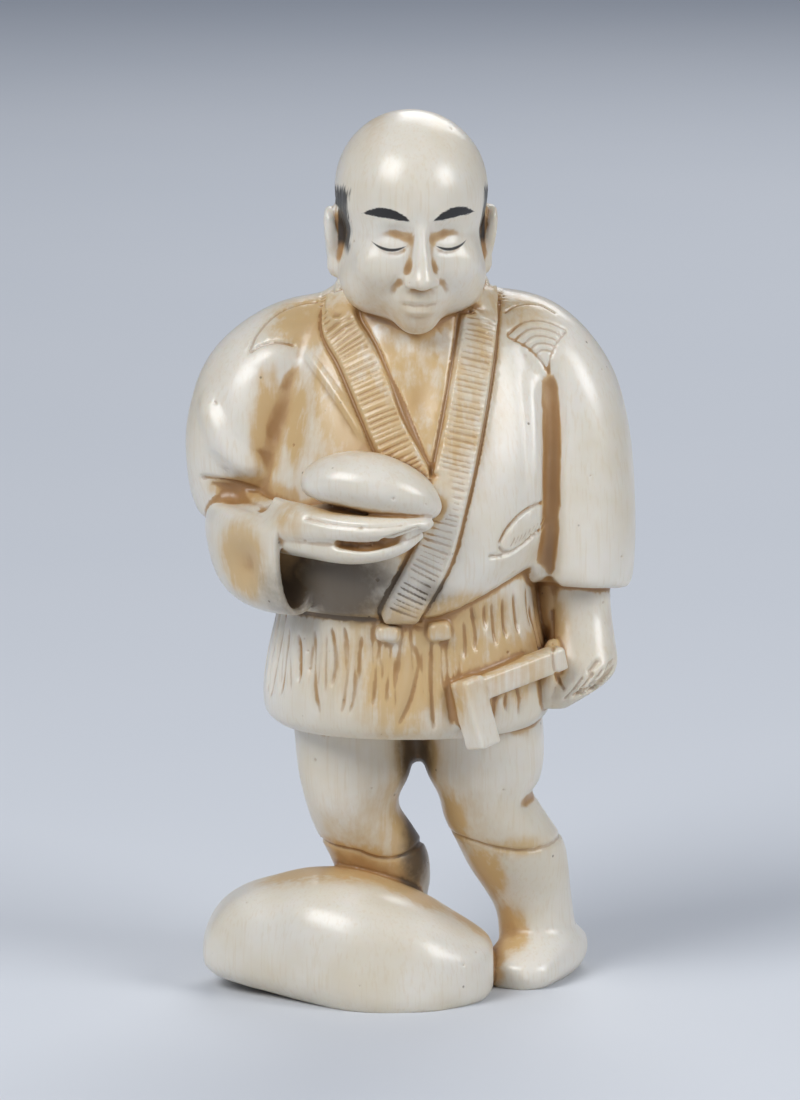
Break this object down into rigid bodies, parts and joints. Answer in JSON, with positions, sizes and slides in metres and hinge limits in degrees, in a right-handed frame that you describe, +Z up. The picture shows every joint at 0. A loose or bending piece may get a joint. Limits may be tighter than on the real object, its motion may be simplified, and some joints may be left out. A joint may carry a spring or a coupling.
{
  "type": "ivory netsuke",
  "caption": "Small carved ivory toggle: a standing workman in a short jacket holds a cake and an adze behind a smooth boulder, with cord holes in his back.",
  "frame": {"origin": "on the ground at the middle of the bounding box, under the figure", "axes": "+Z up from the soles to the crown; the figure faces -Y; its own left hand is at +X"},
  "size_m": [0.0286, 0.02, 0.0561],
  "materials": {
    "ivory": "hand-polished ivory with a satin gloss, amber stain in the recesses and black ink on the hair, brows and lids"
  },
  "bodies": {
    "root": {"netsuke": "ivory"}
  },
  "joints": []
}
